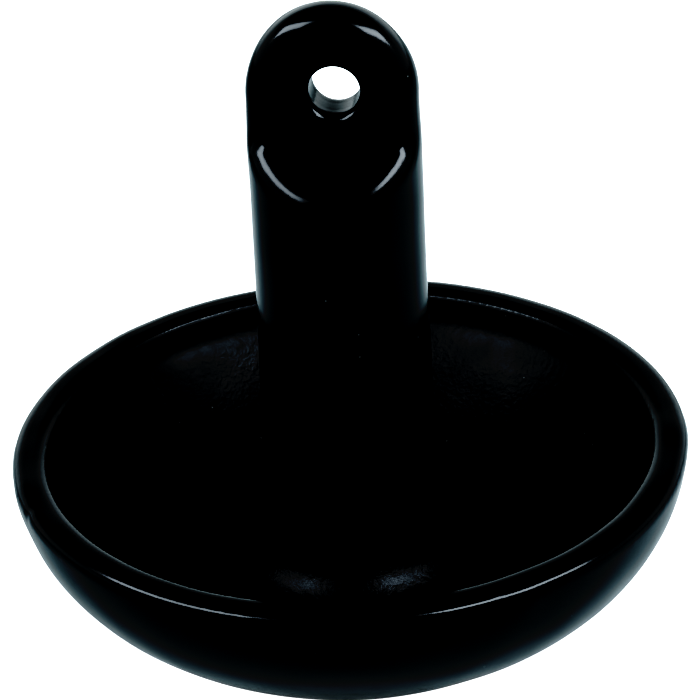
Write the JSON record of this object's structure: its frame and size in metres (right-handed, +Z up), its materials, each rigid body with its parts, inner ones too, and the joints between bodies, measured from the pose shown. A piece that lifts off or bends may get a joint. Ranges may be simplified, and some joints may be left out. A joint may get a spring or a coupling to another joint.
{
  "type": "mushroom anchor",
  "caption": "Vinyl-coated mushroom anchor: a thick-rimmed iron bowl that opens upward round a tapered shank, with a flat-faced eye and a cross hole for a shackle.",
  "frame": {"origin": "centre of the small flat that the anchor stands on, under the bowl", "axes": "+Z up the shank, Y along the eye's hole, X across the eye's two faces"},
  "size_m": [0.204, 0.204, 0.206],
  "materials": {
    "cast_iron": "as cast",
    "vinyl": "glossy black dipped PVC"
  },
  "bodies": {
    "root": {"iron_casting": "cast_iron", "vinyl_coating": "vinyl"}
  },
  "joints": []
}
